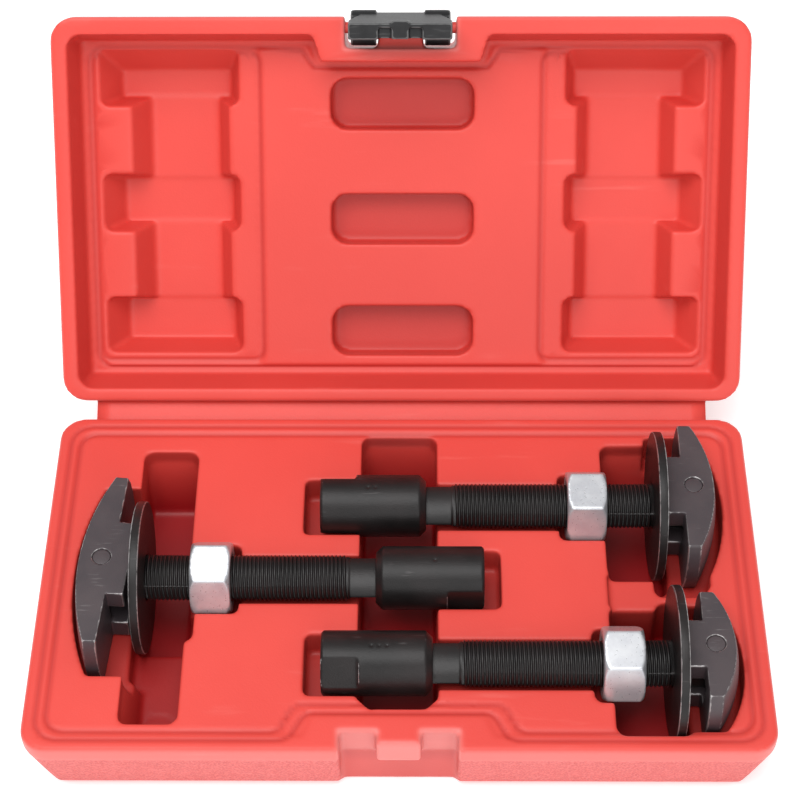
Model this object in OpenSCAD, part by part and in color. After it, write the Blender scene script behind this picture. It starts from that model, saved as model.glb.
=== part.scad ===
// Rear axle bearing puller adapter set: three folding-head pullers in a
// double-wall blow-moulded case. Millimetres. Origin at the centre of the
// tray's underside, +Z up, the hinge on the +Y side, the latch on -Y.

/* [Case] */
// Width of the closed case
case_w = 250; // [248:1:256]
// Depth of the closed case, front to back
case_d = 140; // [139:0.5:144]
// Height of each half
half_h = 31; // [31:0.5:34]
// Plan radius of the rim corners
corner_r = 9; // [6:1:12]
// Thickness of the outer walls
wall = 2; // [1.6:0.1:2]
// Thickness of the inner wall
liner = 1.8; // [1.4:0.1:1.8]
// Height of the smooth straight band under each rim
band_h = 6; // [4:0.5:8]
// Depth of the lid's inner panel under its rim
lid_panel = 14; // [13.9:0.1:15]
// Angle that the lid stands open
lid_open = 127.3; // [90:0.1:130]

/* [Pullers] */
// Outer diameter of the 5/8 inch rod thread
rod_d = 15.875; // [15.8:0.005:15.9]
// Diameter of the plain shank between thread and coupler
shank_d = 13.5; // [12:0.1:14]
// Diameter of the couplers
coupler_d = 22.1; // [21:0.1:22.4]
// Length of the couplers
coupler_l = 37.5; // [36:0.5:38]
// Distance across the flats of the nuts
nut_af = 23.8; // [23:0.1:24]
// Thickness of the nuts
nut_h = 13.9; // [13:0.1:14]
// Diameter of the thrust plates
plate_d = 53; // [50:0.5:53]
// Thickness of the thrust plates
plate_t = 3.2; // [2.6:0.1:3.2]
// Thickness of the puller heads
head_t = 25.4; // [22:0.1:25.4]
// Diameter of the head pivot pins
pin_d = 6.35; // [5:0.05:6.5]
// Outer radius of the large, medium and small heads
head_r = [36.6, 29.4, 24.1];
// Width of the shoulder on the large, medium and small heads
shoulder_w = [30, 24.7, 18.1];

/* [Hidden] */
$fn = 64;
e = 0.01;
rim_z = half_h;
gap = 0.4;                    // between the two rims when shut
lid_z = rim_z + gap;          // rim of the closed lid
top_z = lid_z + half_h;
panel_z = rim_z - 0.6;        // inner panel of the tray
bottom_in = 11;               // how far the end walls lean in
front_out = 5;                // the long walls lean in this much less
axis_z = rim_z;               // height of the three rods

// hinge folds, closed
fold_y = case_d / 2 + 0.8;
fold_a = 4;
fold1_z = rim_z - fold_a;
fold2_z = lid_z + fold_a;
hinge_w = 225.6;

// latch, closed
latch_y = -66;
latch_z = lid_z + 5;
latch_bar_r = 2;
notch_w = 39.6;
notch_back = -58.9;

// pullers: open end of the coupler, axis and direction of the head
//          x      y     dir
tools = [[ 29.2, -1.5, -1],
         [-28.3, 29.7,  1],
         [-26.2, -36.3, 1]];
nut_x = [87.4, 87.2, 94.3];   // near face of each nut along the rod
flat_turn = [0, 38, -38];     // how far the wrench flats are turned
nut_turn = [20, -20, -20];    // and the nuts
head_turn = [-4.3, 0, 0];     // lie of each head in its pocket
plate_x = [117, 117.8, 117.8];
shoulder_x = 121.6;
arm_x = 127.6;
tip_x = 132.2;
apex_x = 140;
pin_x = 131.5;
tang_x = 116.8;
tang_t = 9;

// ---- plan shapes ----

// rounded rectangle from squares and circles, so its corners stay true
module rr(x0, x1, y0, y1, r, g = 0) {
    rad = max(r + g, 0.2);
    translate([x0 - g + rad, y0 - g])
        square([x1 - x0 + 2 * g - 2 * rad, y1 - y0 + 2 * g]);
    translate([x0 - g, y0 - g + rad])
        square([x1 - x0 + 2 * g, y1 - y0 + 2 * g - 2 * rad]);
    for (x = [x0 - g + rad, x1 + g - rad], y = [y0 - g + rad, y1 + g - rad])
        translate([x, y]) circle(rad);
}

module slab(z0, z1) {
    translate([0, 0, z0]) linear_extrude(z1 - z0) children();
}

module plan(inset, front = 0) {
    rr(-case_w / 2, case_w / 2, -case_d / 2 - front, case_d / 2 + front, corner_r,
       -inset);
}

// solid of one half, rim at rim_z, underside at zero
module half_body(t = 0) {
    hull() {
        slab(rim_z - band_h, rim_z) plan(t);
        slab(3.4, 3.5) plan(bottom_in - 1.6 + t, front_out);
        slab(t, t + 0.3) plan(bottom_in + 0.4 + t, front_out);
    }
}

// lid parts are drawn rim down and shut, then opened
module lid_pose() {
    a = lid_open / 2;
    translate([0, fold_y, fold1_z]) rotate([-a, 0, 0])
        translate([0, 0, fold2_z - fold1_z]) rotate([-a, 0, 0])
            translate([0, -fold_y, -fold2_z]) children();
}

module strip_pose() {
    translate([0, fold_y, fold1_z]) rotate([-lid_open / 2, 0, 0])
        translate([0, -fold_y, -fold1_z]) children();
}

// ---- tray ----

bay_w = 39.4;
bay_y = -62.5;
tongue_w = 15;
tongue_y = -67.4;
tongue_z = 20;

module bay_plan(g = 0) {
    difference() {
        rr(-bay_w / 2, bay_w / 2, -case_d, bay_y, 1.5, g);
    }
}

module tray_outer_shell() color([0.90, 0.22, 0.20]) {
    difference() {
        half_body();
        // inside of the double wall, kept off the latch bay
        difference() {
            slab(-1, rim_z - 1.4) plan(-5);
            difference() {
                slab(-2, rim_z) plan(-6);
                half_body(wall);
            }
            slab(-2, rim_z) bay_plan(wall);
        }
        // opening over the inner wall
        slab(rim_z - 2, rim_z + 1) tray_edge();
        // latch bay with its tongue
        difference() {
            slab(-1, rim_z + 1) bay_plan();
            slab(tongue_z, rim_z)
                translate([-tongue_w / 2, tongue_y])
                    square([tongue_w, bay_y - tongue_y + 1]);
        }
    }
    // root of the hinge strip
    translate([-hinge_w / 2, case_d / 2 - 0.5, fold1_z - 2.1])
        cube([hinge_w, 1.8, 1.2]);
}

// edge of the inner wall, going in behind the latch bay
module tray_edge(g = 0) {
    difference() {
        rr(-118, 118, -64.6, 64, 7, g);
        polygon([[-36 - g, -80], [-32 - g, -65.6 + g], [-28.5 - g, -56.4 + g],
                 [28.5 + g, -56.4 + g], [32 + g, -65.6 + g], [36 + g, -80]]);
    }
}

// straight-sided pocket of the tray: plan, floor level
module pocket(floor_z, cut) {
    if (cut) slab(floor_z, rim_z + 1) children();
    else slab(floor_z - liner, panel_z) children();
}

// block with upright sides from zt to zk and leaning ones from zk to zn;
// m holds the leans of its -X, +X, -Y and +Y sides
module leaning(x0, x1, y0, y1, zt, zk, zn, m) {
    d = abs(zk - zn);
    intersection() {
        translate([0, y1 + 1, 0]) rotate([90, 0, 0]) linear_extrude(y1 - y0 + 2)
            polygon([[x0, zt], [x1, zt], [x1, zk], [x1 - m[1] * d, zn],
                     [x0 + m[0] * d, zn], [x0, zk]]);
        translate([x0 - 1, 0, 0]) rotate([90, 0, 90]) linear_extrude(x1 - x0 + 2)
            polygon([[y0, zt], [y1, zt], [y1, zk], [y1 - m[3] * d, zn],
                     [y0 + m[2] * d, zn], [y0, zk]]);
    }
}

module well(x0, x1, y0, y1, floor_z, m, cut) {
    g = cut ? 0 : liner;
    intersection() {
        leaning(x0 - g, x1 + g, y0 - g, y1 + g, cut ? rim_z + 1 : panel_z,
                rim_z - band_h, floor_z - g, m);
        slab(0, rim_z + 2) rr(x0, x1, y0, y1, 3.4, g);
    }
}

module head_plan(x, y, dir, half_l, out, g) {
    sag = 7.8;
    r = (half_l * half_l + sag * sag) / (2 * sag);
    intersection() {
        translate([x + dir * (out - r), y]) circle(r + g, $fn = 128);
        translate([min(x + dir * 117, x + dir * (out + g + 5)) - g, y - half_l - g])
            square([out + g + 5 - 117 + g, 2 * half_l + 2 * g]);
    }
}

module tray_pockets(cut) {
    g = cut ? 0 : liner;
    lean = 0.437;
    // finger wells beside the plates and across the couplers
    well(-93.2, -73.6, -59.5, -30, 9.5, [0.3, 0.03, lean, 0], cut);
    well(-93.2, -73.6, -36, -12, 9.5, [0.03, 0.03, 0, 0], cut);
    well(-93.2, -73.6, -19.5, 54.5, 3.9, [0.03, 0.03, 0, 0.38], cut);
    pocket(9.5, cut) rr(-80, -70.6, -27, -8, 3, g);
    difference() {
        well(-14.2, 13, -53.6, 61.6, 6, [0.03, 0.03, 0.1, lean], cut);
        for (s = [-1, 1]) translate([s > 0 ? 13 + g : -14.2 - g, -53.6 - g, 0])
            rotate([0, 0, 45]) cube([6, 6, 100], center = true);
    }
    well(72.4, 94.5, 0.2, 57.4, 3.9, [0.03, 0, 0, lean], cut);
    well(72, 97.5, -63.4, -12.5, 3.9, [0.03, 0, lean, 0], cut);
    well(88.2, 97.5, -40, -9.2, 3.9, [0, 0, 0, 0], cut);
    // bridge between the two right-hand wells, a little low
    pocket(27, cut) rr(72.2, 106, -13, 1, 0.5, g);
    // puller by puller: coupler seat, rod channel, nut pocket, head pocket
    for (i = [0:2]) {
        x = tools[i][0]; y = tools[i][1]; d = tools[i][2];
        c0 = min(x - d * 5.9, x + d * 20);
        pocket(19.3, cut) rr(c0, c0 + 25.9, y - 12, y + 12, 2, g);
        r0 = min(x + d * 35, x + d * 92);
        pocket(22.6, cut) rr(r0, r0 + 57, y - 9.8, y + 9.8, 1, g);
        n0 = min(x + d * (nut_x[i] - 2.6), x + d * (nut_x[i] + 16));
        n1 = n0 + 18.6;
        pocket(16.4, cut) rr(n0, n1, y - 14.3, y + 14.3, 2.5, g);
    }
    pocket(17.6, cut) head_plan(29.2, -1.5, -1, 39.2, 142.6, g);
    pocket(17.6, cut) head_plan(-28.3, 29.7, 1, 31.6, 142.8, g);
    pocket(17.6, cut) rr(88.7, 107.6, -6.5, 6, 3, g);
    pocket(17.6, cut) head_plan(-26.2, -36.3, 1, 25.6, 142.2, g);
}

module tray_inner_wall() color([0.88, 0.20, 0.18]) {
    difference() {
        union() {
            slab(panel_z - liner, panel_z) tray_edge(-0.02);
            intersection() {
                tray_pockets(false);
                slab(0, rim_z) tray_edge(-0.02);
            }
        }
        tray_pockets(true);
    }
}

// ---- hinge ----

module hinge_strip() color([0.86, 0.20, 0.18]) strip_pose() {
    t = 1.0;
    translate([-hinge_w / 2, fold_y - t / 2, fold1_z])
        cube([hinge_w, t, fold2_z - fold1_z]);
    for (z = [fold1_z, fold2_z])
        translate([-hinge_w / 2, fold_y, z])
            rotate([0, 90, 0]) cylinder(r = t / 2, h = hinge_w);
}

// ---- lid, drawn shut ----

// recess over the whole lid, going in behind the latch notch
module lid_recess(zt, zn, g) {
    difference() {
        intersection() {
            leaning(-119.2 - g, 119.2 + g, -64 - g, 65.4 + g, zt, lid_z, zn,
                    [0.2, 0.2, 0.2, 0.2]);
            slab(lid_z - 5, top_z) rr(-119.2, 119.2, -64, 65.4, 6, g);
        }
        slab(lid_z - 5, top_z)
            polygon([[-35 + g, -80], [-32 + g, -65 - g], [-28.5 + g, -54 - g],
                     [28.5 - g, -54 - g], [32 - g, -65 - g], [35 - g, -80]]);
    }
}

module lid_outer_shell() color([0.90, 0.22, 0.20]) lid_pose() {
    lug_w = 16.2;
    difference() {
        translate([0, 0, lid_z + half_h]) mirror([0, 0, 1]) half_body();
        difference() {
            slab(lid_z + 1.4, top_z + 1) plan(-5);
            translate([0, 0, lid_z + half_h]) mirror([0, 0, 1]) difference() {
                slab(-2, rim_z) plan(-6);
                half_body(wall);
            }
            slab(lid_z - 1, top_z + 2)
                rr(-notch_w / 2, notch_w / 2, -case_d, notch_back, 1, wall);
        }
        lid_recess(lid_z - 1, lid_z + 3, liner);
        difference() {
            slab(lid_z - 1, top_z + 1)
                rr(-notch_w / 2, notch_w / 2, -case_d, notch_back, 1.5);
            // lug between the latch's two knuckles
            translate([-lug_w / 2, latch_y, latch_z])
                rotate([0, 90, 0]) cylinder(r = 3.4, h = lug_w);
            translate([-lug_w / 2, latch_y, latch_z - 3.4])
                cube([lug_w, notch_back - latch_y + 1, 6.8]);
        }
        translate([-notch_w / 2 - wall, latch_y, latch_z])
            rotate([0, 90, 0]) cylinder(r = latch_bar_r, h = notch_w + 2 * wall);
    }
    translate([-hinge_w / 2, case_d / 2 - 0.5, fold2_z + 0.9])
        cube([hinge_w, 1.8, 1.2]);
}

module lid_well(x0, x1, y0, y1, zn, m, cut) {
    g = cut ? 0 : liner;
    intersection() {
        leaning(x0 - g, x1 + g, y0 - g, y1 + g, lid_z + lid_panel - 1,
                lid_z + lid_panel, zn + g, m);
        slab(lid_z, top_z) rr(x0, x1, y0, y1, 5.4, g);
    }
}

module lid_pockets(cut) {
    g = cut ? 0 : liner;
    z0 = lid_z + lid_panel;
    deep = top_z - wall - liner - 0.2;
    // I-shaped recesses that clear the heads and plates
    for (s = [-1, 1]) {
        a = s < 0 ? -110.6 : 59.6;
        for (y = [-47.8, -1.7, 44.2])
            lid_well(a, a + 51.8, y - 10.9, y + 10.9, deep,
                     [s < 0 ? 0.6 : 0.3, s < 0 ? 0.3 : 0.6, y < -40 ? 0.7 : 0.2,
                      y > 40 ? 0.3 : 0.2], cut);
        b = s < 0 ? -99.2 : 63.8;
        lid_well(b, b + 36.8, -56, 54, deep - 0.5,
                 [s < 0 ? 0.55 : 0.4, 0.4, 0.75, 0.4], cut);
        slab(z0 - 1, cut ? z0 + 1 : z0 + 1 + liner)
            rr(s < 0 ? -114 : 52, s < 0 ? -51.4 : 114, -60, 59, 2, g);
    }
    for (y = [-38.1, 4.2, 46.2])
        slab(z0 - 1, cut ? z0 + 9 : z0 + 9 + liner) rr(-25.6, 26.6, y - 9.3, y + 9.3, 6, g);
}

module lid_inner_wall() color([0.88, 0.20, 0.18]) lid_pose() {
    z0 = lid_z + lid_panel;
    difference() {
        union() {
            lid_recess(lid_z + 0.2, z0 + liner, liner - 0.02);
            lid_pockets(false);
        }
        lid_recess(lid_z - 1, z0, 0);
        lid_pockets(true);
        // ledge round the panel
        difference() {
            lid_recess(z0 - 1, z0 + 0.8, 0);
            slab(z0 - 2, top_z) difference() {
                rr(-113.4, 113.4, -58.4, 59.8, 5);
                polygon([[-39, -80], [-36, -66], [-31.5, -51.2],
                         [31.5, -51.2], [36, -66], [39, -80]]);
            }
        }
    }
}

// ---- latch, drawn shut ----

module latch() color([0.10, 0.10, 0.11]) lid_pose() {
    bot = 14.5;
    side = 18.2;
    in = 8.7;
    difference() {
        union() {
            // sloping front plate, narrow at the pivot
            intersection() {
                translate([0, -60, 0]) rotate([90, 0, 0]) linear_extrude(20)
                    polygon([[-side, bot], [side, bot], [side, bot + 7],
                             [10.2, latch_z + 7], [-10.2, latch_z + 7],
                             [-side, bot + 7]]);
                translate([-20, 0, 0]) rotate([90, 0, 90]) linear_extrude(40)
                    polygon([[-68.6, bot], [-71.4, 36.5], [-70.8, 40.6],
                             [-68.8, 42.4], [-68, 40.9], [-69.4, 39.6],
                             [-69.9, 36.3], [-67.85, 20], [-67, bot]]);
            }
            for (s = [-1, 1]) {
                // knuckles round the bar, flat beside the rim
                intersection() {
                    translate([s > 0 ? in : -17.8, latch_y, latch_z])
                        rotate([0, 90, 0]) cylinder(r = 6.3, h = 17.8 - in);
                    translate([-20, -80, lid_z + 0.4]) cube([40, 30, 20]);
                    // corners sloped like the front plate
                    translate([0, -50, 0]) rotate([90, 0, 0]) linear_extrude(30)
                        polygon([[-side, bot], [side, bot], [side, bot + 20],
                                 [11.6, latch_z + 7], [-11.6, latch_z + 7],
                                 [-side, bot + 20]]);
                }
                translate([s > 0 ? in : -in - 3.6, -70.6, lid_z + 0.8])
                    cube([3.6, 5, 7.6]);
                // hooks: floor, outer and inner webs
                translate([s > 0 ? in - 1 : -side, -68.4, bot])
                    cube([side - in + 1, 5.4, 1.8]);
                translate([s > 0 ? side - 1.8 : -side, -68.4, bot])
                    cube([1.8, 5.4, 7]);
                translate([s > 0 ? in : -in - 1.6, -68.4, bot])
                    cube([1.6, 5.4, latch_z - bot]);
            }
            // stepped middle of the end, with the thumb rib
            translate([-in - 0.5, -68.4, bot + 1.6]) cube([2 * in + 1, 5, 3.2]);
            translate([-3, -69.6, bot]) cube([6, 6.4, 4.8]);
        }
        translate([-30, latch_y, latch_z])
            rotate([0, 90, 0]) cylinder(r = latch_bar_r + 0.08, h = 60);
    }
}

module latch_bar() color([0.86, 0.20, 0.18]) lid_pose() {
    translate([-notch_w / 2 - wall, latch_y, latch_z])
        rotate([0, 90, 0]) cylinder(r = latch_bar_r, h = notch_w + 2 * wall);
}

// ---- pullers, drawn along +X from the coupler's open end ----

module tool_pose(i) {
    translate([tools[i][0], tools[i][1], axis_z])
        rotate([0, 0, tools[i][2] > 0 ? 0 : 180]) children();
}

module bar(x0, x1, d) {
    translate([x0, 0, 0]) rotate([0, 90, 0]) cylinder(d = d, h = x1 - x0);
}

module cone(x0, x1, d0, d1) {
    translate([x0, 0, 0]) rotate([0, 90, 0]) cylinder(d1 = d0, d2 = d1, h = x1 - x0);
}

module rod(i) color([0.20, 0.19, 0.19]) tool_pose(i) {
    difference() {
        union() {
            bar(25, 46.2, shank_d);
            cone(46.2 - e, 47.4, shank_d, rod_d);
            bar(47.4 - e, tang_x, rod_d);
            intersection() {
                union() {
                    bar(tang_x - e, pin_x, rod_d);
                    translate([pin_x, 0, 0])
                        cylinder(r = 7, h = tang_t, center = true);
                }
                translate([tang_x - 1, -7, -tang_t / 2]) cube([40, 14, tang_t]);
            }
        }
        translate([pin_x, 0, 0]) cylinder(d = pin_d, h = 30, center = true);
    }
}

module coupler(i) color([0.20, 0.19, 0.20]) tool_pose(i) {
    socket_r = 7.2;
    difference() {
        union() {
            cone(0, 0.8, coupler_d - 1.6, coupler_d);
            bar(0.8 - e, coupler_l - 2.4, coupler_d);
            cone(coupler_l - 2.4 - e, coupler_l, coupler_d, 17.4);
        }
        bar(-1, 22, 2 * socket_r);
        cone(-e, 1, 2 * socket_r + 2, 2 * socket_r);
        bar(25, coupler_l + 1, shank_d);
        rotate([flat_turn[i], 0, 0]) for (s = [-1, 1])
            translate([-1, s > 0 ? 9.6 : -19.6, -15]) cube([13.6, 10, 30]);
        // punched size dots: one, two or three
        for (k = [0:i]) translate([17 + 2.6 * k, 0, coupler_d / 2 - 0.4])
            cylinder(d = 1.3, h = 2);
    }
}

module nut(i) color([0.80, 0.80, 0.82]) tool_pose(i) {
    ac = nut_af / cos(30);
    difference() {
        intersection() {
            translate([nut_x[i], 0, 0]) rotate([0, 90, 0])
                rotate([0, 0, nut_turn[i]]) cylinder(d = ac, h = nut_h, $fn = 6);
            // turned corners at both ends
            translate([nut_x[i], 0, 0]) rotate([0, 90, 0]) rotate_extrude()
                polygon([[0, 0], [nut_af / 2, 0], [ac / 2 + 0.1, 1.6],
                         [ac / 2 + 0.1, nut_h - 1.6], [nut_af / 2, nut_h], [0, nut_h]]);
        }
        bar(nut_x[i] - 1, nut_x[i] + nut_h + 1, 16);
        cone(nut_x[i] - e, nut_x[i] + 0.8, 17.6, 16);
        cone(nut_x[i] + nut_h - 0.8, nut_x[i] + nut_h + e, 16, 17.6);
    }
}

module thrust_plate(i) color([0.22, 0.20, 0.19]) tool_pose(i) {
    translate([plate_x[i], 0, 0]) rotate([0, 90, 0]) rotate_extrude($fn = 128)
        polygon([[8.03, 0], [plate_d / 2 - 0.5, 0], [plate_d / 2, 0.5],
                 [plate_d / 2, plate_t - 0.5], [plate_d / 2 - 0.5, plate_t],
                 [8.03, plate_t]]);
}

// a slice of a turned blank: arc back, round ends, square shoulder
module head(i) color([0.21, 0.19, 0.20]) tool_pose(i)
    translate([pin_x, 0, 0]) rotate([0, 0, head_turn[i]])
    translate([-pin_x, 0, 0]) {
    r = head_r[i];
    sh = shoulder_w[i] / 2;
    sag = apex_x - tip_x;
    arc = (r * r + sag * sag) / (2 * sag);
    difference() {
        union() {
            intersection() {
                rotate([0, 90, 0]) rotate_extrude($fn = 160) intersection() {
                    translate([0, arm_x]) square([r, apex_x - arm_x]);
                    translate([0, apex_x - arc]) circle(arc, $fn = 360);
                }
                translate([shoulder_x, -40, -head_t / 2]) cube([30, 80, head_t]);
            }
            translate([shoulder_x, -sh, -head_t / 2])
                cube([arm_x - shoulder_x + 1, 2 * sh, head_t]);
        }
        // slot for the tang, open at the sides of the shoulder
        translate([shoulder_x - 1, -sh - 1, -tang_t / 2 - 0.3])
            cube([arm_x - shoulder_x + 1, 2 * sh + 2, tang_t + 0.6]);
        translate([arm_x - 1, -13, -tang_t / 2 - 0.3])
            cube([pin_x - arm_x + 1, 26, tang_t + 0.6]);
        translate([pin_x, 0, 0]) cylinder(r = 7.8, h = tang_t + 0.6, center = true);
        translate([pin_x, 0, 0]) cylinder(d = pin_d + 0.1, h = 40, center = true);
    }
}

module pivot_pin(i) color([0.24, 0.22, 0.22]) tool_pose(i) {
    translate([pin_x, 0, 0]) cylinder(d = pin_d, h = head_t - 0.4, center = true);
}

tray_outer_shell();
tray_inner_wall();
hinge_strip();
lid_outer_shell();
lid_inner_wall();
latch();
latch_bar();
rod(0);  // large_rod
coupler(0);  // large_coupler
nut(0);  // large_nut
thrust_plate(0);  // large_thrust_plate
head(0);  // large_head
pivot_pin(0);  // large_pivot_pin
rod(1);  // medium_rod
coupler(1);  // medium_coupler
nut(1);  // medium_nut
thrust_plate(1);  // medium_thrust_plate
head(1);  // medium_head
pivot_pin(1);  // medium_pivot_pin
rod(2);  // small_rod
coupler(2);  // small_coupler
nut(2);  // small_nut
thrust_plate(2);  // small_thrust_plate
head(2);  // small_head
pivot_pin(2);  // small_pivot_pin
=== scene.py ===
import bpy, bmesh, math
import numpy as np
from mathutils import Matrix, Vector


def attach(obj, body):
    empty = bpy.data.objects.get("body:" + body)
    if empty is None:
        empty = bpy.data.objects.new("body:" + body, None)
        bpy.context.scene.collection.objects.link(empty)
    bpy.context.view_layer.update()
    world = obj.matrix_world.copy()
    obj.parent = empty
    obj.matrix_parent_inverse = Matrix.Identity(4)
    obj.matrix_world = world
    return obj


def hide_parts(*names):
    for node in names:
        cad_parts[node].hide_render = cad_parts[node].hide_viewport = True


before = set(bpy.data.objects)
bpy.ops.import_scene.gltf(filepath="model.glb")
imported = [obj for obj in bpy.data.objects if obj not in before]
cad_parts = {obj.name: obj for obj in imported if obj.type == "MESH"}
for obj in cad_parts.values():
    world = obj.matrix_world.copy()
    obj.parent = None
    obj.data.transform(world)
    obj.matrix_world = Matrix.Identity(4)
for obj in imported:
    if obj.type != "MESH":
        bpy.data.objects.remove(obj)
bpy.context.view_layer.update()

scene = bpy.context.scene
scene.view_settings.view_transform = "Standard"
print("frame loaded")

mm = 0.001


def link(mesh, title):
    obj = bpy.data.objects.new(title, mesh)
    scene.collection.objects.link(obj)
    return obj


def evaluated(obj):
    # the modified shape as a plain mesh
    graph = bpy.context.evaluated_depsgraph_get()
    mesh = bpy.data.meshes.new_from_object(obj.evaluated_get(graph))
    old = obj.data
    bpy.data.objects.remove(obj)
    if old.users == 0:
        bpy.data.meshes.remove(old)
    return mesh


def points(mesh):
    co = np.empty(len(mesh.vertices) * 3)
    mesh.vertices.foreach_get("co", co)
    return co.reshape(-1, 3)


def normals(mesh):
    no = np.empty(len(mesh.vertices) * 3)
    mesh.vertices.foreach_get("normal", no)
    return no.reshape(-1, 3)


def movePoints(mesh, co):
    mesh.vertices.foreach_set("co", co.ravel())
    mesh.update()


def storeValue(mesh, name, values):
    layer = mesh.attributes.new(name, "FLOAT", "POINT")
    layer.data.foreach_set("value", np.asarray(values, dtype=np.float32))


def mergedCopy(*nodes):
    bm = bmesh.new()
    for n in nodes:
        bm.from_mesh(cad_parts[n].data)
    bmesh.ops.remove_doubles(bm, verts=bm.verts, dist=2e-6)
    return bm


def outerIslands(mesh, least):
    # drops the hollow between the two walls and any crumb
    bm = bmesh.new()
    bm.from_mesh(mesh)
    bm.verts.ensure_lookup_table()
    seen = bytearray(len(bm.verts))
    drop = []
    for start in bm.verts:
        if seen[start.index]:
            continue
        seen[start.index] = 1
        island, stack = [], [start]
        while stack:
            v = stack.pop()
            island.append(v)
            for e in v.link_edges:
                w = e.other_vert(v)
                if not seen[w.index]:
                    seen[w.index] = 1
                    stack.append(w)
        xs = [v.co.x for v in island]
        if max(xs) - min(xs) < least:
            drop += island
    bmesh.ops.delete(bm, geom=drop, context="VERTS")
    bm.to_mesh(mesh)
    bm.free()


def soften(bm, title, voxel, rounds):
    # one skin over the solids, with worn-round edges
    mesh = bpy.data.meshes.new(title)
    bm.to_mesh(mesh)
    bm.free()
    obj = link(mesh, title)
    skin = obj.modifiers.new("skin", "REMESH")
    skin.mode = "VOXEL"
    skin.voxel_size = voxel
    if rounds:
        relax = obj.modifiers.new("relax", "SMOOTH")
        relax.factor = 0.5
        relax.iterations = rounds
    out = evaluated(obj)
    out.name = title
    return out


def thin(mesh, title, most):
    # fewer triangles, most of them saved on the flats
    mesh.calc_loop_triangles()
    share = most / len(mesh.loop_triangles)
    if share >= 1:
        return mesh
    obj = link(mesh, title)
    mod = obj.modifiers.new("fewer", "DECIMATE")
    mod.ratio = share
    out = evaluated(obj)
    out.name = title
    return out


def roundness(mesh, reach):
    # how far each point stands out of its neighbours, for worn edges
    co, no = points(mesh), normals(mesh)
    edges = np.empty(len(mesh.edges) * 2, dtype=np.int32)
    mesh.edges.foreach_get("vertices", edges)
    a, b = edges[0::2], edges[1::2]
    mid = np.zeros_like(co)
    count = np.zeros(len(co))
    np.add.at(mid, a, co[b])
    np.add.at(mid, b, co[a])
    np.add.at(count, a, 1)
    np.add.at(count, b, 1)
    mid /= np.maximum(count, 1)[:, None]
    rise = ((co - mid) * no).sum(1)
    for _ in range(2):
        total = np.zeros(len(co))
        np.add.at(total, a, rise[b])
        np.add.at(total, b, rise[a])
        rise = 0.5 * rise + 0.5 * total / np.maximum(count, 1)
    return np.clip(rise / reach, 0, 1)


def place(mesh, title, paint, body, finish, *nodes):
    obj = link(mesh, title)
    mesh.materials.clear()
    mesh.materials.append(paint)
    mesh.polygons.foreach_set("use_smooth", [True] * len(mesh.polygons))
    mesh.update()
    if nodes:
        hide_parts(*nodes)
    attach(obj, body)
    return obj


# shader groups shared by the finishes

def newGroup(title, ins, outs):
    tree = bpy.data.node_groups.new(title, "ShaderNodeTree")
    for name, start in ins:
        s = tree.interface.new_socket(name, in_out="INPUT", socket_type="NodeSocketFloat")
        s.default_value = start
    for name in outs:
        tree.interface.new_socket(name, in_out="OUTPUT", socket_type="NodeSocketFloat")
    return tree, tree.nodes.new("NodeGroupInput"), tree.nodes.new("NodeGroupOutput")


def node(tree, kind, **values):
    n = tree.nodes.new(kind)
    for key, value in values.items():
        setattr(n, key, value)
    return n


def maths(tree, what, a, b=None, limit=False):
    n = node(tree, "ShaderNodeMath", operation=what, use_clamp=limit)
    for socket, value in zip(n.inputs, (a, b)):
        if value is None:
            continue
        if isinstance(value, (int, float)):
            socket.default_value = value
        else:
            tree.links.new(value, socket)
    return n.outputs[0]


def ramp(tree, value, low, high, smooth=True):
    n = node(tree, "ShaderNodeMapRange", interpolation_type="SMOOTHSTEP" if smooth else "LINEAR")
    tree.links.new(value, n.inputs["Value"])
    for name, v in (("From Min", low), ("From Max", high)):
        if isinstance(v, (int, float)):
            n.inputs[name].default_value = v
        else:
            tree.links.new(v, n.inputs[name])
    return n.outputs["Result"]


def noiseAt(tree, where, size, detail, stretch=None):
    if stretch:
        turn = node(tree, "ShaderNodeMapping")
        turn.inputs["Scale"].default_value = stretch
        tree.links.new(where, turn.inputs["Vector"])
        where = turn.outputs[0]
    n = node(tree, "ShaderNodeTexNoise")
    n.inputs["Detail"].default_value = detail
    if isinstance(size, (int, float)):
        n.inputs["Scale"].default_value = size
    else:
        tree.links.new(size, n.inputs["Scale"])
    tree.links.new(where, n.inputs["Vector"])
    return n.outputs["Fac"]


def leatherGroup():
    # pebbled moulded grain: cells with soft creases
    tree, start, end = newGroup("leatherGrain", (("Scale", 900.0), ("Mask", 1.0)), ("Height",))
    where = node(tree, "ShaderNodeTexCoord").outputs["Object"]
    cell = node(tree, "ShaderNodeTexVoronoi", feature="SMOOTH_F1")
    cell.inputs["Smoothness"].default_value = 0.35
    tree.links.new(where, cell.inputs["Vector"])
    tree.links.new(start.outputs["Scale"], cell.inputs["Scale"])
    fine = noiseAt(tree, where, maths(tree, "MULTIPLY", start.outputs["Scale"], 2.3), 3)
    pits = maths(tree, "MULTIPLY", cell.outputs["Distance"], -0.8)
    both = maths(tree, "ADD", pits, maths(tree, "MULTIPLY", fine, 0.5))
    tree.links.new(maths(tree, "MULTIPLY", both, start.outputs["Mask"]), end.inputs["Height"])
    return tree


def wearGroup():
    # rubbed edges broken up by noise
    tree, start, end = newGroup("edgeWear", (("Edge", 0.0), ("Scale", 300.0), ("Amount", 0.5)), ("Mask",))
    where = node(tree, "ShaderNodeTexCoord").outputs["Object"]
    patch = noiseAt(tree, where, start.outputs["Scale"], 5)
    level = maths(tree, "MULTIPLY", start.outputs["Edge"], maths(tree, "ADD", patch, 0.15))
    low = maths(tree, "SUBTRACT", 1.0, start.outputs["Amount"])
    tree.links.new(ramp(tree, level, maths(tree, "MULTIPLY", low, 0.6), low), end.inputs["Mask"])
    return tree


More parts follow.
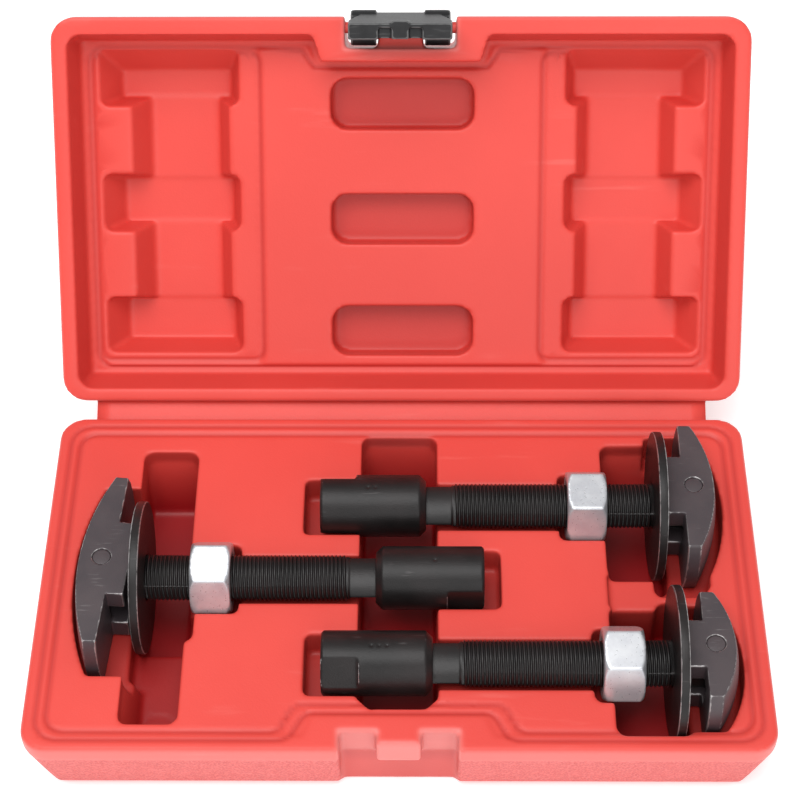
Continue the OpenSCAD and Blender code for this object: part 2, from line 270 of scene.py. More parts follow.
def scuffGroup():
    # short rub marks running one way, gathered in patches
    tree, start, end = newGroup("scuffs", (("Scale", 60.0), ("Amount", 0.5)), ("Mask",))
    where = node(tree, "ShaderNodeTexCoord").outputs["Object"]
    streak = noiseAt(tree, where, maths(tree, "MULTIPLY", start.outputs["Scale"], 9.0), 4, (0.12, 1.0, 1.0))
    patch = noiseAt(tree, where, start.outputs["Scale"], 2)
    both = maths(tree, "MULTIPLY", ramp(tree, streak, 0.58, 0.74), ramp(tree, patch, 0.5, 0.68))
    tree.links.new(maths(tree, "MULTIPLY", both, start.outputs["Amount"]), end.inputs["Mask"])
    return tree


def driftGroup():
    # slow unevenness of colour and gloss
    tree, start, end = newGroup("drift", (("Scale", 25.0), ("Detail", 4.0)), ("Value",))
    where = node(tree, "ShaderNodeTexCoord").outputs["Object"]
    slow = noiseAt(tree, where, start.outputs["Scale"], 4)
    tree.links.new(ramp(tree, slow, 0.3, 0.7), end.inputs["Value"])
    return tree


leather, wear, scuff, drift = leatherGroup(), wearGroup(), scuffGroup(), driftGroup()


def newPaint(title):
    mat = bpy.data.materials.new(title)
    mat.use_nodes = True
    return mat, mat.node_tree, mat.node_tree.nodes["Principled BSDF"]


def use(tree, group, **values):
    n = node(tree, "ShaderNodeGroup", node_tree=group)
    for key, value in values.items():
        if isinstance(value, (int, float)):
            n.inputs[key].default_value = value
        else:
            tree.links.new(value, n.inputs[key])
    return n.outputs[0]


def mix(tree, amount, a, b):
    n = node(tree, "ShaderNodeMix", data_type="RGBA")
    tree.links.new(amount, n.inputs[0])
    for socket, value in ((n.inputs[6], a), (n.inputs[7], b)):
        if isinstance(value, tuple):
            socket.default_value = (*value, 1)
        else:
            tree.links.new(value, socket)
    return n.outputs[2]


def between(tree, amount, low, high):
    n = node(tree, "ShaderNodeMapRange")
    tree.links.new(amount, n.inputs["Value"])
    n.inputs["To Min"].default_value = low
    n.inputs["To Max"].default_value = high
    return n.outputs["Result"]


def bump(tree, shader, height, depth, strength=1.0):
    n = node(tree, "ShaderNodeBump")
    n.inputs["Strength"].default_value = strength
    n.inputs["Distance"].default_value = depth
    tree.links.new(height, n.inputs["Height"])
    tree.links.new(n.outputs["Normal"], shader.inputs["Normal"])


def stored(tree, name):
    return node(tree, "ShaderNodeAttribute", attribute_name=name).outputs["Fac"]


# deep is a painted shade for pockets and moulded lines; pale covers latch whitening and a painted sheen on
# the outer walls; the lighter pink for the grained faces is a painted sheen
redPlastic = {"colour": (0.70, 0.068, 0.053), "shade": (0.66, 0.060, 0.047), "rub": (0.72, 0.13, 0.11),
              "deep": (0.30, 0.006, 0.008), "pale": (0.78, 0.34, 0.32),
              "grainSheen": (0.72, 0.165, 0.155), "grainSheenAmount": 0.7, "fleck": (0.50, 0.045, 0.05), "flecks": 0.55,
              "grain": 1250, "grainDepth": 0.00045, "rough": (0.40, 0.60)}


def paintRed(s, title, grained=True):
    mat, tree, shader = newPaint(title)
    slow = use(tree, drift, Scale=14)
    rub = use(tree, scuff, Scale=22, Amount=0.5)
    body = mix(tree, rub, mix(tree, slow, s["colour"], s["shade"]), s["rub"])
    if grained:
        # painted shade darkens the pockets, their walls and the moulded lines; paler where the latch has
        # bent the edges, with a painted sheen on the outer walls
        body = mix(tree, stored(tree, "depth"), body, s["deep"])
        body = mix(tree, stored(tree, "whiteningAndSheen"), body, s["pale"])
        grainy = use(tree, leather, Scale=s["grain"], Mask=stored(tree, "grain"))
        # painted sheen: the grained outer faces turn a lighter pink
        body = mix(tree, maths(tree, "MULTIPLY", stored(tree, "grain"), s["grainSheenAmount"]), body, s["grainSheen"])
        fleck = maths(tree, "MULTIPLY", stored(tree, "grain"), ramp(tree, grainy, -0.35, 0.15))
        body = mix(tree, maths(tree, "MULTIPLY", fleck, s["flecks"]), body, s["fleck"])
    tree.links.new(body, shader.inputs["Base Color"])
    where = node(tree, "ShaderNodeTexCoord").outputs["Object"]
    fine = noiseAt(tree, where, 1500, 3)
    if grained:
        grain = stored(tree, "grain")
        gloss = maths(tree, "ADD", grain, maths(tree, "MULTIPLY", fine, 0.3))
        tree.links.new(between(tree, gloss, *s["rough"]), shader.inputs["Roughness"])
        skin = use(tree, leather, Scale=s["grain"], Mask=grain)
        height = maths(tree, "ADD", skin, maths(tree, "MULTIPLY", fine, 0.10))
    else:
        tree.links.new(between(tree, fine, 0.36, 0.52), shader.inputs["Roughness"])
        height = maths(tree, "MULTIPLY", fine, 0.10)
    bump(tree, shader, height, s["grainDepth"])
    shader.inputs["Specular IOR Level"].default_value = 0.32
    shader.inputs["Subsurface Weight"].default_value = 0.06
    shader.inputs["Subsurface Radius"].default_value = (0.004, 0.0012, 0.0008)
    shader.inputs["Subsurface Scale"].default_value = 0.5
    return mat


blackSteel = {"colour": (0.046, 0.036, 0.041), "brown": (0.064, 0.049, 0.053), "bare": (0.36, 0.34, 0.34),
              "amount": 0.47, "rub": 0.22, "rough": (0.36, 0.54), "gloss": 0.45}
turnedSteel = {**blackSteel, "colour": (0.008, 0.007, 0.007), "brown": (0.015, 0.012, 0.012), "amount": 0.38,
               "rub": 0.12, "rough": (0.30, 0.46), "gloss": 0.28}
cutSteel = {**turnedSteel, "amount": 0.34, "rub": 0.05, "rough": (0.28, 0.42), "gloss": 0.32}


def paintSteel(s, title):
    mat, tree, shader = newPaint(title)
    slow = use(tree, drift, Scale=70)
    bare = use(tree, wear, Edge=stored(tree, "edge"), Scale=420, Amount=s["amount"])
    rub = use(tree, scuff, Scale=120, Amount=s["rub"])
    body = mix(tree, slow, s["colour"], s["brown"])
    shown = maths(tree, "MAXIMUM", bare, rub)
    tree.links.new(mix(tree, shown, body, s["bare"]), shader.inputs["Base Color"])
    tree.links.new(maths(tree, "MULTIPLY", shown, 0.8), shader.inputs["Metallic"])
    where = node(tree, "ShaderNodeTexCoord").outputs["Object"]
    fine = noiseAt(tree, where, 2600, 4)
    tree.links.new(between(tree, fine, *s["rough"]), shader.inputs["Roughness"])
    bump(tree, shader, maths(tree, "ADD", fine, maths(tree, "MULTIPLY", shown, -0.4)), 0.00006)
    shader.inputs["Specular IOR Level"].default_value = s["gloss"]
    return mat


zinc = {"colour": (0.56, 0.57, 0.59), "dull": (0.47, 0.48, 0.51), "rough": (0.24, 0.38), "metal": 0.6}


def paintZinc(s, title):
    mat, tree, shader = newPaint(title)
    slow = use(tree, drift, Scale=160)
    rub = use(tree, scuff, Scale=150, Amount=0.6)
    tree.links.new(mix(tree, slow, s["colour"], s["dull"]), shader.inputs["Base Color"])
    where = node(tree, "ShaderNodeTexCoord").outputs["Object"]
    fine = noiseAt(tree, where, 900, 5)
    gloss = maths(tree, "ADD", maths(tree, "MULTIPLY", fine, 0.7), maths(tree, "MULTIPLY", rub, 0.5), True)
    tree.links.new(between(tree, gloss, *s["rough"]), shader.inputs["Roughness"])
    bump(tree, shader, maths(tree, "ADD", fine, rub), 0.000015)
    shader.inputs["Metallic"].default_value = s["metal"]
    return mat


blackPlastic = {"colour": (0.009, 0.009, 0.010), "pale": (0.020, 0.020, 0.021), "rub": (0.10, 0.10, 0.10)}


def paintBlack(s, title):
    mat, tree, shader = newPaint(title)
    slow = use(tree, drift, Scale=90)
    edge = use(tree, wear, Edge=stored(tree, "edge"), Scale=300, Amount=0.6)
    rub = use(tree, scuff, Scale=90, Amount=0.6)
    body = mix(tree, slow, s["colour"], s["pale"])
    tree.links.new(mix(tree, maths(tree, "MAXIMUM", edge, rub), body, s["rub"]), shader.inputs["Base Color"])
    where = node(tree, "ShaderNodeTexCoord").outputs["Object"]
    fine = noiseAt(tree, where, 1800, 3)
    tree.links.new(between(tree, fine, 0.30, 0.46), shader.inputs["Roughness"])
    bump(tree, shader, fine, 0.00005)
    shader.inputs["Specular IOR Level"].default_value = 0.22
    return mat


redCase = paintRed(redPlastic, "redMoulding")
redTrim = paintRed(redPlastic, "redTrim", grained=False)
steel = paintSteel(blackSteel, "blackOxide")
turned = paintSteel(turnedSteel, "turnedBlack")
threadSteel = paintSteel(cutSteel, "cutThread")
zincPlate = paintZinc(zinc, "brightZinc")
latchBlack = paintBlack(blackPlastic, "latchPlastic")
print("finishes ready")

# the case: each half is one blown skin over its two CAD walls

fold = {"y": 70.8, "low": 27.0, "high": 35.4, "half": 127.3 / 2}
# steep and line values set the painted shade on pocket walls and moulded lines; the wall value sets a
# painted sheen on the outer walls
halves = {"voxel": 0.84 * mm, "rounds": 6, "triangles": 194000, "halfWide": 125, "halfDeep": 70,
          "endSlope": 0.437, "longSlope": 0.204, "bandZ": 25.0, "shutHeight": 62.4, "lipWide": 225.6,
          "steepTray": 0.35, "steepLid": 0.24, "lineTray": 0.42, "lineLid": 0.4, "lineReach": 0.9,
          "bayPale": 0.45, "notchPale": 0.35, "wallSheen": 0.3}


def foldedOpen():
    # closed lid to open lid, in millimetres
    a = math.radians(fold["half"])
    low = Matrix.Translation((0, fold["y"], fold["low"])) @ Matrix.Rotation(-a, 4, "X")
    high = Matrix.Translation((0, 0, fold["high"] - fold["low"])) @ Matrix.Rotation(-a, 4, "X")
    return low @ high @ Matrix.Translation((0, -fold["y"], -fold["high"]))


lidTurn = np.array(foldedOpen())


def lidShut(co):
    flat = np.linalg.inv(lidTurn)
    return (co / mm) @ flat[:3, :3].T + flat[:3, 3]


def lidAway(no):
    return no @ np.linalg.inv(lidTurn)[:3, :3].T


def grainMask(p, s):
    # outer faces below the smooth band, p in millimetres with the rim at 31
    drop = np.clip(s["bandZ"] - p[:, 2], 0, 22)
    ends = np.abs(p[:, 0]) - s["halfWide"] + drop * s["endSlope"]
    side = np.maximum(ends, np.abs(p[:, 1]) - s["halfDeep"] + drop * s["longSlope"])
    mask = np.clip((side + 1.6) / 0.8, 0, 1) * np.clip((s["bandZ"] - p[:, 2] - 0.4) / 0.8, 0, 1)
    return np.maximum(mask, np.clip(1 - np.abs(p[:, 2]) / 1.2, 0, 1))


def lineDistance(p, line):
    # distance in plan from each point to a closed line
    best = np.full(len(p), 1e9)
    for a, b in zip(line, line[1:] + line[:1]):
        a, b = np.array(a, float), np.array(b, float)
        d = b - a
        t = np.clip(((p[:, :2] - a) @ d) / (d @ d), 0, 1)
        best = np.minimum(best, np.linalg.norm(p[:, :2] - (a + t[:, None] * d), axis=1))
    return best


def roundedFrame(x0, x1, y0, y1, r, waist=None):
    # closed plan line with round corners; waist steps the front in round the latch
    line = []
    corners = ((x1 - r, y0 + r, -90), (x1 - r, y1 - r, 0), (x0 + r, y1 - r, 90), (x0 + r, y0 + r, 180))
    for cx, cy, start in corners:
        for k in range(5):
            a = math.radians(start + 22.5 * k)
            line.append((cx + r * math.cos(a), cy + r * math.sin(a)))
    if waist:
        line += waist
    return line


def engrave(co, axis, p, up, lines, level, spread=0.35):
    # sinks soft grooves along plan lines into faces near the given level
    for line, wide, deep in lines:
        d = lineDistance(p, line)
        dip = np.exp(-(d / (wide * 0.5)) ** 2) * deep
        on = np.clip(1.5 - np.abs(p[:, 2] - level) / spread * 0.5, 0, 1) * np.clip(up * 2 - 0.6, 0, 1)
        co -= axis[None, :] * (dip * on * mm)[:, None]
    return co


def addLip(mesh, box, place):
    # root of the hinge web along the back edge
    bm = bmesh.new()
    bm.from_mesh(mesh)
    made = bmesh.ops.create_cube(bm, size=1)["verts"]
    low, high = Vector(box[0]), Vector(box[1])
    for v in made:
        q = Vector([low[i] + (v.co[i] + 0.5) * (high[i] - low[i]) for i in range(3)])
        v.co = (place @ q) * mm
    edges = list({e for v in made for e in v.link_edges})
    bmesh.ops.bevel(bm, geom=edges, offset=0.3 * mm, segments=2, profile=0.5, affect="EDGES")
    bm.to_mesh(mesh)
    bm.free()


def moulding(title, s, nodes):
    mesh = soften(mergedCopy(*nodes), title, s["voxel"], s["rounds"])
    outerIslands(mesh, 0.2)
    return thin(mesh, title, s["triangles"])


def inside(p):
    # how far in plan from the outer wall, in millimetres
    return np.minimum(halves["halfWide"] - np.abs(p[:, 0]), halves["halfDeep"] - np.abs(p[:, 1]))


def bentEdge(p, line, reach, low):
    # mask along a plan line, for what lies above a level
    d = lineDistance(p, line)
    return np.exp(-(d / reach) ** 2) * np.clip((p[:, 2] - low) / 2, 0, 1)


def outerWall(mesh, p, up):
    # mask on the upright faces near the outside, left off round the latch, where a painted sheen goes
    across = np.sqrt(np.clip(1 - (normals(mesh) @ up) ** 2, 0, 1))
    fromLatch = np.abs(p[:, 1]) - 40 + np.clip(np.abs(p[:, 0]) - 60, 0, 60)
    return np.clip(across * 2 - 0.9, 0, 1) * np.clip((9 - inside(p)) / 3, 0, 1) * np.clip(fromLatch, 0, 1)


def steepMask(p, facing):
    # mask on the walls of pockets, whose faces turn away from the opening, for painted shade
    return np.clip(1.1 - facing * 1.15, 0, 1) * np.clip((inside(p) - 3) / 1.5, 0, 1)


def mirrored(left):
    return left + [(-x, y) for x, y in reversed(left)]


def ringAt(x, y, r, steps=24):
    return [(x + r * math.cos(a), y + r * math.sin(a)) for a in np.linspace(0, 2 * math.pi, steps, False)]


trayMarks = {
    "panel": 30.7,
    "frames": [
        roundedFrame(-120.4, 120.4, -65.8, 65.8, 7.5,
                     mirrored([(-39, -65.8), (-36, -64.6), (-32.4, -57.5), (-30.4, -55.4)])),
        roundedFrame(-117, 117, -62.4, 62.4, 6,
                     mirrored([(-42, -62.4), (-39.4, -61.4), (-35.4, -53.6), (-33, -51.8)]))],
    "bay": mirrored([(-19.7, -71), (-19.7, -62.5), (-7.5, -62.5), (-7.5, -67.4)]),
    "rings": [((-82.6, -50.2), 6.2, 9.5), ((81.5, -57.0), 5.6, 5.0)]}


def buildTray(s, marks):
    mesh = moulding("trayMoulding", s, ("tray_outer_shell", "tray_inner_wall"))
    co, no = points(mesh), normals(mesh)
    p = co / mm
    above = np.array((0, 0, 1.0))
    co = engrave(co, above, p, no[:, 2], [(line, 1.2, 0.6) for line in marks["frames"]],
                 marks["panel"], 1.4)
    for (x, y), r, z in marks["rings"]:
        co = engrave(co, above, p, no[:, 2], [(ringAt(x, y, r), 1.1, 0.35)], z, 3.0)
    movePoints(mesh, co)
    addLip(mesh, ((-s["lipWide"] / 2, 69.4, 24.9), (s["lipWide"] / 2, 71.2, 26.1)), Matrix())
    p = points(mesh) / mm
    storeValue(mesh, "grain", grainMask(p, s))
    # painted shade: darker deeper in the pockets, on pocket walls and along the moulded lines
    within = np.clip((inside(p) - 4 - np.clip(25 - p[:, 2], 0, 30) * 0.2) / 2, 0, 1)
    steep = steepMask(p, normals(mesh)[:, 2]) * s["steepTray"]
    pocketShade = np.maximum(np.clip((28.5 - p[:, 2]) / 22, 0, 1) ** 0.8 * within, steep)
    lineShade = np.max([bentEdge(p, line, s["lineReach"], 28) for line in marks["frames"]], axis=0)
    storeValue(mesh, "depth", np.maximum(pocketShade, lineShade * s["lineTray"]))
    # whitening where the latch bends the bay edges, and a painted sheen on the outer walls
    pale = bentEdge(p, marks["bay"], 1.1, 18) * s["bayPale"]
    storeValue(mesh, "whiteningAndSheen", np.maximum(pale, outerWall(mesh, p, above) * s["wallSheen"]))
    return place(mesh, "trayMoulding", redCase, "tray", "case_shell", "tray_outer_shell", "tray_inner_wall")


lidMarks = {
    "panel": 45.4, "deep": 58.4,
    "frames": [
        roundedFrame(-113.4, 113.4, -58.4, 59.8, 5, mirrored([(-39, -58.4), (-36, -57.6), (-31.5, -51.2)])),
        roundedFrame(-112.2, -51.4, -56.6, 57.4, 4),
        roundedFrame(51.4, 112.2, -56.6, 57.4, 4)],
    "notch": mirrored([(-19.8, -71), (-19.8, -58.9)]),
    "rings": [(-74.6, -3.0, 4.6), (76.0, -2.4, 4.6)], "vents": [(40, 13, 1.2), (-30, 16, 1.0)]}


def buildLid(s, marks):
    mesh = moulding("lidMoulding", s, ("lid_outer_shell", "lid_inner_wall"))
    co = points(mesh)
    p, up = lidShut(co), -lidAway(normals(mesh))[:, 2]
    axis = lidTurn[:3, :3] @ np.array((0, 0, -1.0))
    frames = [(line, 1.5, 0.5) for line in marks["frames"]]
    co = engrave(co, axis, p, up, frames, marks["panel"] + 0.4, 1.8)
    for x, y, r in marks["rings"]:
        co = engrave(co, axis, p, up, [(ringAt(x, y, r), 1.1, 0.4)], marks["deep"], 3.0)
    for x, y, r in marks["vents"]:
        co = engrave(co, axis, p, up, [(ringAt(x, y, r * 0.3, 6), r * 1.6, 0.6)], marks["panel"], 2.0)
    movePoints(mesh, co)
    addLip(mesh, ((-s["lipWide"] / 2, 69.4, 36.3), (s["lipWide"] / 2, 71.2, 37.5)), foldedOpen())
    p = lidShut(points(mesh))
    # painted sheen on the outer rim, and whitening where the latch bends the notch edges
    rim = outerWall(mesh, p, axis) * s["wallSheen"] * np.clip((2.6 - inside(p)) * 2, 0, 1)
    storeValue(mesh, "whiteningAndSheen", np.maximum(bentEdge(p, marks["notch"], 1.1, 20) * s["notchPale"], rim))
    # painted shade: darker deeper in the middle recesses, on pocket walls and along the moulded lines
    middle = np.clip((32 - np.abs(p[:, 0])) / 3, 0, 1) * np.clip((inside(p) - 10) / 2, 0, 1)
    steep = steepMask(p, normals(mesh) @ axis) * s["steepLid"]
    nearest = np.min([lineDistance(p, line) for line in marks["frames"]], axis=0)
    lineShade = np.exp(-(nearest / s["lineReach"]) ** 2) * np.clip((48.5 - p[:, 2]) / 2, 0, 1)
    pocketShade = np.maximum(np.clip((p[:, 2] - 47) / 8, 0, 1) * middle * 0.4, steep)
    storeValue(mesh, "depth", np.maximum(pocketShade, lineShade * s["lineLid"]))
    p[:, 2] = s["shutHeight"] - p[:, 2]
    storeValue(mesh, "grain", grainMask(p, s))
    return place(mesh, "lidMoulding", redCase, "lid", "case_shell", "lid_outer_shell", "lid_inner_wall")


buildTray(halves, trayMarks)
print("tray moulded")
buildLid(halves, lidMarks)
print("lid moulded")

web = {"wide": 225.6, "steps": 40, "creases": ((0.0, 0.42), (1.0, 0.42)), "thick": 1.0}


def buildWeb(s):
    # thin band between the folds, pinched at each crease
    a = math.radians(fold["half"])
    turn = Matrix.Translation((0, fold["y"], fold["low"])) @ Matrix.Rotation(-a, 4, "X")
    length = fold["high"] - fold["low"]
    bm = bmesh.new()
    rows = []
    ts = [-0.045, 0.0, 0.03, 0.09, 0.16, 0.3, 0.5, 0.7, 0.84, 0.91, 0.97, 1.0, 1.045]
    for t in ts:
        pinch = min(abs(t - c) for c, _ in s["creases"])
        half = s["thick"] / 2 * (0.72 + 0.28 * min(1.0, pinch / 0.09))
        if t < 0 or t > 1:
            half *= 0.6
        rows.append((half, t * length))
    loop = [(h, z) for h, z in rows] + [(-h, z) for h, z in reversed(rows)]
    rings = []
    for k in range(s["steps"] + 1):
        x = s["wide"] * (k / s["steps"] - 0.5)
        inset = 0.25 if k in (0, s["steps"]) else 0
        rings.append([bm.verts.new((turn @ Vector((x, h * (1 - inset), z))) * mm) for h, z in loop])
    for r0, r1 in zip(rings, rings[1:]):
        for i in range(len(loop)):
            j = (i + 1) % len(loop)
            bm.faces.new((r0[i], r0[j], r1[j], r1[i]))
    bm.faces.new(list(reversed(rings[0])))
    bm.faces.new(rings[-1])
    bmesh.ops.recalc_face_normals(bm, faces=bm.faces)
    mesh = bpy.data.meshes.new("hingeWeb")
    bm.to_mesh(mesh)
    bm.free()
    return place(mesh, "hingeWeb", redTrim, "hinge_strip", "case_shell", "hinge_strip")


buildWeb(web)


def buildLatch(s):
    mesh = soften(mergedCopy("latch"), "latchBody", s["voxel"], s["rounds"])
    outerIslands(mesh, 0.01)
    storeValue(mesh, "edge", roundness(mesh, s["reach"]))
    return place(mesh, "latchBody", latchBlack, "latch", "latch_black", "latch")


buildLatch({"voxel": 0.38 * mm, "rounds": 2, "reach": 0.05 * mm})
print("hinge and latch done")

# the pullers

pullers = {
    "large": {"at": (29.2, -1.5), "dir": -1, "plate": 117.0, "nut": 87.4},
    "medium": {"at": (-28.3, 29.7), "dir": 1, "plate": 117.8, "nut": 87.2},
    "small": {"at": (-26.2, -36.3), "dir": 1, "plate": 117.8, "nut": 94.3},
}
axisZ = 31.0


def pullerPlace(q):
    spin = Matrix.Rotation(math.pi, 4, "Z") if q["dir"] < 0 else Matrix()
    return Matrix.Translation((q["at"][0] * mm, q["at"][1] * mm, axisZ * mm)) @ spin


def threadTree():
    # a ridge swept up a helix; the same ridge serves a socket when it stands inward
    tree = bpy.data.node_groups.new("threadHelix", "GeometryNodeTree")
    tree.is_modifier = True
    add = tree.interface.new_socket
    add("Geometry", in_out="INPUT", socket_type="NodeSocketGeometry")
    for name, start in (("Pitch", 0.0014), ("Length", 0.06), ("Radius", 0.0075), ("Ridge", 0.0012)):
        add(name, in_out="INPUT", socket_type="NodeSocketFloat").default_value = start
    add("Finish", in_out="INPUT", socket_type="NodeSocketMaterial")
    add("Geometry", in_out="OUTPUT", socket_type="NodeSocketGeometry")
    start, end = tree.nodes.new("NodeGroupInput"), tree.nodes.new("NodeGroupOutput")
    spiral = tree.nodes.new("GeometryNodeCurveSpiral")
    spiral.inputs["Resolution"].default_value = 40
    spiral.inputs["Reverse"].default_value = True
    turns = maths(tree, "DIVIDE", start.outputs["Length"], start.outputs["Pitch"])
    tree.links.new(turns, spiral.inputs["Rotations"])
    tree.links.new(start.outputs["Radius"], spiral.inputs["Start Radius"])
    tree.links.new(start.outputs["Radius"], spiral.inputs["End Radius"])
    tree.links.new(start.outputs["Length"], spiral.inputs["Height"])
    upright = tree.nodes.new("GeometryNodeSetCurveNormal")
    upright.mode = "Z_UP"
    tree.links.new(spiral.outputs[0], upright.inputs["Curve"])
    kite = node(tree, "GeometryNodeCurvePrimitiveQuadrilateral", mode="KITE")
    tree.links.new(maths(tree, "MULTIPLY", start.outputs["Ridge"], 1.02), kite.inputs["Width"])
    half = maths(tree, "MULTIPLY", start.outputs["Ridge"], 0.5)
    tree.links.new(half, kite.inputs["Bottom Height"])
    tree.links.new(half, kite.inputs["Top Height"])
    sweep = tree.nodes.new("GeometryNodeCurveToMesh")
    sweep.inputs["Fill Caps"].default_value = True
    tree.links.new(upright.outputs[0], sweep.inputs["Curve"])
    tree.links.new(kite.outputs[0], sweep.inputs["Profile Curve"])
    real = tree.nodes.new("GeometryNodeRealizeInstances")
    tree.links.new(sweep.outputs[0], real.inputs[0])
    coat = tree.nodes.new("GeometryNodeSetMaterial")
    tree.links.new(real.outputs[0], coat.inputs["Geometry"])
    tree.links.new(start.outputs["Finish"], coat.inputs["Material"])
    tree.links.new(coat.outputs[0], end.inputs[0])
    return tree


helix = threadTree()


def thread(length, radius, ridge, pitch=1.411):
    # a length of thread standing on the XY plane, in metres
    obj = link(bpy.data.meshes.new("helix"), "helix")
    mod = obj.modifiers.new("helix", "NODES")
    mod.node_group = helix
    ids = {i.name: i.identifier for i in helix.interface.items_tree if i.in_out == "INPUT"}
    for name, value in (("Pitch", pitch), ("Length", length), ("Radius", radius), ("Ridge", ridge)):
        mod[ids[name]] = value * mm
    mod[ids["Finish"]] = threadSteel
    return evaluated(obj)


rodShape = {"from": 47.6, "to": 116.6, "root": 7.18, "ridgeAt": 7.36, "ridge": 1.16}


def alongRod(mesh, start):
    # stands the helix along local +X from start
    mesh.transform(Matrix.Translation((start * mm, 0, 0)) @ Matrix.Rotation(math.pi / 2, 4, "Y"))


def buildRod(name, q, s):
    to = pullerPlace(q)
    back = to.inverted()
    bm = mergedCopy(name + "_rod")
    bmesh.ops.transform(bm, matrix=back, verts=bm.verts)
    for v in bm.verts:
        r = math.hypot(v.co.y, v.co.z) / mm
        x = v.co.x / mm
        if s["from"] - 0.4 < x < s["to"] + 0.6 and r > s["root"]:
            v.co.y *= s["root"] / r
            v.co.z *= s["root"] / r
    corners = [e for e in bm.edges if len(e.link_faces) == 2 and e.calc_face_angle() > 0.5]
    bmesh.ops.bevel(bm, geom=corners, offset=0.25 * mm, segments=2, profile=0.5, affect="EDGES",
                    clamp_overlap=True)
    mesh = bpy.data.meshes.new(name + "Rod")
    bm.to_mesh(mesh)
    ridge = thread(s["to"] - s["from"], s["ridgeAt"], s["ridge"])
    alongRod(ridge, s["from"])
    bm.from_mesh(ridge)
    for f in bm.faces:
        f.material_index = 0
    bm.to_mesh(mesh)
    bm.free()
    mesh.transform(to)
    co = points(mesh)
    local = (np.c_[co, np.ones(len(co))] @ np.array(back).T)[:, :3] / mm
    crest = np.clip((np.hypot(local[:, 1], local[:, 2]) - 7.75) / 0.15, 0, 1)
    storeValue(mesh, "edge", crest * 0.5)
    return place(mesh, name + "Rod", threadSteel, name + "_puller", "black_steel", name + "_rod")


couplerShape = {"voxel": 0.40 * mm, "rounds": 2, "reach": 0.05 * mm,
                "bore": 7.94, "depth": 21.6, "ridgeAt": 7.78, "ridge": 1.12}


def buildCoupler(name, q, s):
    to = pullerPlace(q)
    back = to.inverted()
    bm = mergedCopy(name + "_coupler")
    bmesh.ops.transform(bm, matrix=back, verts=bm.verts)
    for v in bm.verts:
        r = math.hypot(v.co.y, v.co.z) / mm
        if v.co.x / mm < s["depth"] + 0.6 and 7.1 < r < 7.3:
            v.co.y *= s["bore"] / r
            v.co.z *= s["bore"] / r
    mesh = soften(bm, name + "Coupler", s["voxel"], s["rounds"])
    storeValue(mesh, "edge", roundness(mesh, s["reach"]))
    ridge = thread(s["depth"] - 1.2, s["ridgeAt"], s["ridge"])
    alongRod(ridge, 1.0)
    bm = bmesh.new()
    bm.from_mesh(mesh)
    bm.from_mesh(ridge)
    for f in bm.faces:
        f.material_index = 0
    bm.to_mesh(mesh)
    bm.free()
    mesh.transform(to)
    return place(mesh, name + "Coupler", turned, name + "_puller", "black_steel", name + "_coupler")


nutShape = {"voxel": 0.40 * mm, "rounds": 4}


def buildNut(name, s):
    mesh = soften(mergedCopy(name + "_nut"), name + "Nut", s["voxel"], s["rounds"])
    return place(mesh, name + "Nut", zincPlate, name + "_nut", "zinc_steel", name + "_nut")


plateShape = {"outer": 26.5, "bore": 8.05, "thick": 3.2, "round": 0.55, "sides": 144}


def buildPlate(name, q, s):
    # turned washer: rings from the bore out, round the rim and back
    x0, x1, r, out, hole = 0, s["thick"], s["round"], s["outer"], s["bore"]
    profile = []
    for x, rad in ((x0, hole + r), (x0, hole + 3), (x0, out * 0.6), (x0, out - r - 1.2)):
        profile.append((x, rad, 0))
    for k in range(6):
        a = math.pi / 2 * k / 5
        profile.append((x0 + r - r * math.cos(a), out - r + r * math.sin(a), math.sin(2 * a)))
    profile.append(((x0 + x1) / 2, out, 0.15))
    for k in range(6):
        a = math.pi / 2 * k / 5
        profile.append((x1 - r + r * math.sin(a), out - r + r * math.cos(a), math.sin(2 * a)))
    for rad in (out - r - 1.2, out * 0.6, hole + 3, hole + r):
        profile.append((x1, rad, 0))
    profile += [(x1 - r * 0.3, hole + r * 0.3, 0.5), (x1 - r, hole, 0.1),
                (x0 + r, hole, 0.1), (x0 + r * 0.3, hole + r * 0.3, 0.5)]
    bm = bmesh.new()
    mark = bm.verts.layers.float.new("edge")
    rings = []
    for k in range(s["sides"]):
        a = 2 * math.pi * k / s["sides"]
        ring = []
        for x, rad, edge in profile:
            v = bm.verts.new(((q["plate"] + x) * mm, rad * math.cos(a) * mm, rad * math.sin(a) * mm))
            v[mark] = max(0, edge)
            ring.append(v)
        rings.append(ring)
    for r0, r1 in zip(rings, rings[1:] + rings[:1]):
        for i in range(len(profile)):
            j = (i + 1) % len(profile)
            bm.faces.new((r0[i], r0[j], r1[j], r1[i]))
    bmesh.ops.recalc_face_normals(bm, faces=bm.faces)
    mesh = bpy.data.meshes.new(name + "Plate")
    bm.to_mesh(mesh)
    bm.free()
    mesh.transform(pullerPlace(q))
    return place(mesh, name + "Plate", turned, name + "_thrust_plate", "black_steel", name + "_thrust_plate")


headShape = {"voxel": 0.42 * mm, "rounds": 2, "reach": 0.05 * mm, "triangles": 90000}


def buildHead(name, s):
    mesh = soften(mergedCopy(name + "_head"), name + "Head", s["voxel"], s["rounds"])
    outerIslands(mesh, 0.004)
    mesh = thin(mesh, name + "Head", s["triangles"])
    storeValue(mesh, "edge", roundness(mesh, s["reach"]))
    return place(mesh, name + "Head", steel, name + "_head", "black_steel", name + "_head")


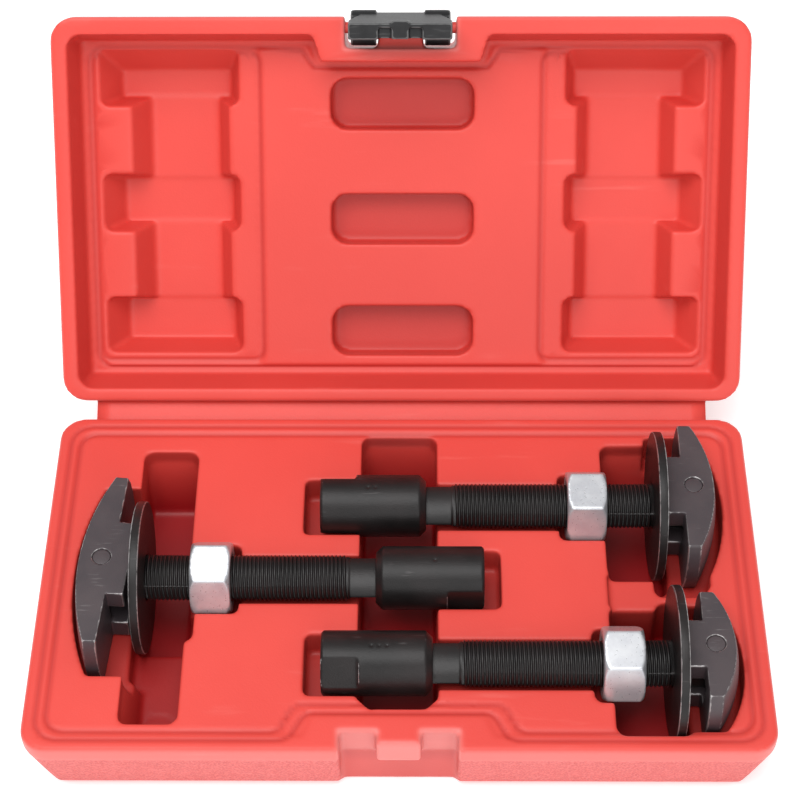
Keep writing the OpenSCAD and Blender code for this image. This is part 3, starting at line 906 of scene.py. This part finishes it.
def buildPin(name):
    bm = mergedCopy(name + "_pivot_pin")
    rims = [e for e in bm.edges if len(e.link_faces) == 2 and e.calc_face_angle() > 0.8]
    bmesh.ops.bevel(bm, geom=rims, offset=0.45 * mm, segments=3, profile=0.5, affect="EDGES")
    mesh = bpy.data.meshes.new(name + "Pin")
    bm.to_mesh(mesh)
    bm.free()
    storeValue(mesh, "edge", np.zeros(len(mesh.vertices)))
    return place(mesh, name + "Pin", steel, name + "_puller", "black_steel", name + "_pivot_pin")


for name, q in pullers.items():
    buildRod(name, q, rodShape)
    buildCoupler(name, q, couplerShape)
    buildNut(name, nutShape)
    buildPlate(name, q, plateShape)
    buildHead(name, headShape)
    buildPin(name)
    print(name, "puller done")

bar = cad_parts["latch_bar"]
bar.data.materials.clear()
bar.data.materials.append(redTrim)

# camera: one shot over the open case
shot = {"lens": 94.51, "at": (0.00656, -0.4181, 0.6328), "pitch": 50.46, "yaw": -0.806, "roll": -0.583}


def addCamera(s):
    pitch, yaw, roll = (math.radians(s[k]) for k in ("pitch", "yaw", "roll"))
    ahead = Vector((math.sin(yaw) * math.cos(pitch), math.cos(yaw) * math.cos(pitch), -math.sin(pitch)))
    right = Vector((math.cos(yaw), -math.sin(yaw), 0))
    up = right.cross(ahead)
    side = right * math.cos(roll) + up * math.sin(roll)
    top = up * math.cos(roll) - right * math.sin(roll)
    turn = Matrix((side, top, -ahead)).transposed()
    data = bpy.data.cameras.new("shotCamera")
    data.lens = s["lens"]
    data.sensor_width = 36
    data.clip_start = 0.01
    cam = bpy.data.objects.new("shotCamera", data)
    cam.matrix_world = Matrix.Translation(s["at"]) @ turn.to_4x4()
    scene.collection.objects.link(cam)
    scene.camera = cam


addCamera(shot)

# bench and light
studio = {"sky": 0.55, "glow": 0.35, "floor": (0.92, 0.92, 0.92), "reach": 3, "under": -0.0002,
          "key": ((-0.2, -0.2, 1.3), 1.0, 15), "fill": ((0.25, -1.15, 0.6), 0.9, 5)}


def buildStudio(s):
    mesh = bpy.data.meshes.new("floor")
    far, low = s["reach"], s["under"]
    corners = [(-far, -far, low), (far, -far, low), (far, far, low), (-far, far, low)]
    mesh.from_pydata(corners, [], [(0, 1, 2, 3)])
    floor = link(mesh, "floor")
    mat, _, shader = newPaint("benchWhite")
    shader.inputs["Base Color"].default_value = (*s["floor"], 1)
    shader.inputs["Roughness"].default_value = 0.7
    shader.inputs["Emission Color"].default_value = (1, 1, 1, 1)
    shader.inputs["Emission Strength"].default_value = s["glow"]
    mesh.materials.append(mat)
    world = bpy.data.worlds.new("studio")
    scene.world = world
    world.use_nodes = True
    world.node_tree.nodes["Background"].inputs["Color"].default_value = (1, 1, 1, 1)
    world.node_tree.nodes["Background"].inputs["Strength"].default_value = s["sky"]
    for title in ("key", "fill"):
        at, size, power = s[title]
        lamp = bpy.data.lights.new(title, "AREA")
        lamp.size = size
        lamp.energy = power
        obj = bpy.data.objects.new(title, lamp)
        obj.location = at
        obj.rotation_euler = (Vector((0, 0, 0.02)) - obj.location).to_track_quat("-Z", "Y").to_euler()
        scene.collection.objects.link(obj)


buildStudio(studio)
print("studio ready")
